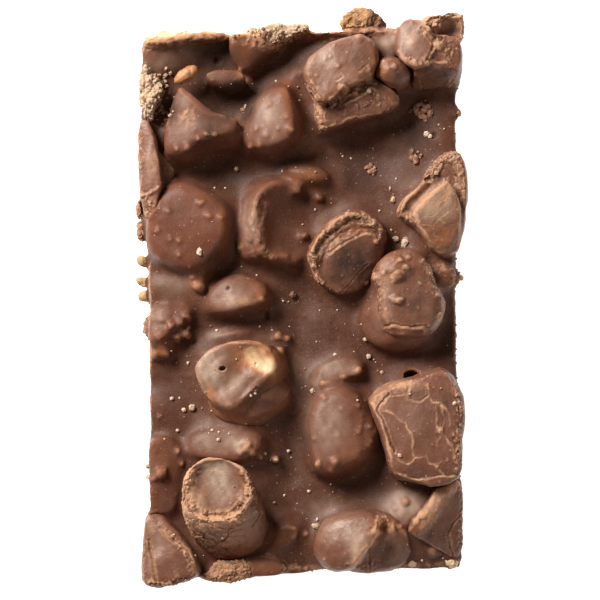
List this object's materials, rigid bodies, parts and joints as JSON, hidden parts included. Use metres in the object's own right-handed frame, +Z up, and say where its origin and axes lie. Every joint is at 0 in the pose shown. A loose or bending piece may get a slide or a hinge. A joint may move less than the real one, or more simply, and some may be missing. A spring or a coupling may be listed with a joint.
{
  "type": "rocky road",
  "caption": "Cut slab of rocky road: coated marshmallow lumps and puffed grains set in poured milk chocolate, with biscuit showing at the edges.",
  "frame": {"origin": "middle of the flat underside of the slab", "axes": "+Z up out of the lumpy face, +Y along the slab's length towards its far end, +X to the right"},
  "size_m": [0.0801, 0.1393, 0.0213],
  "materials": {
    "poured_chocolate": "satin milk chocolate with a faint bloom",
    "shell_chocolate": "satin milk chocolate, rubbed tan at its broken edges",
    "biscuit": "matte crumb",
    "pale_flake": "matte pale crumb",
    "puffed_grain": "satin toasted grain"
  },
  "bodies": {
    "root": {"chocolate_slab": "poured_chocolate", "chunk_top": "shell_chocolate", "chunk_ball": "shell_chocolate", "chunk_top_right": "shell_chocolate", "chunk_left_edge": "shell_chocolate", "chunk_right_edge": "shell_chocolate", "chunk_disc": "shell_chocolate", "chunk_middle_right": "shell_chocolate", "chunk_cup": "shell_chocolate", "chunk_block": "shell_chocolate", "chunk_barrel": "shell_chocolate", "chunk_bottom_left": "shell_chocolate", "chunk_bottom": "shell_chocolate", "chunk_bottom_right": "shell_chocolate", "biscuit_left": "biscuit", "biscuit_top_left": "pale_flake", "biscuit_top": "biscuit", "biscuit_bottom": "biscuit", "biscuit_corner": "pale_flake", "crumb_top": "biscuit", "grain_top_left": "puffed_grain", "flake_left_1": "pale_flake", "flake_left_2": "pale_flake", "flake_left_3": "pale_flake", "crumb_left_1": "biscuit", "crumb_left_2": "biscuit", "crumb_left_3": "biscuit", "crumb_right_1": "pale_flake", "crumb_right_2": "biscuit"}
  },
  "joints": []
}
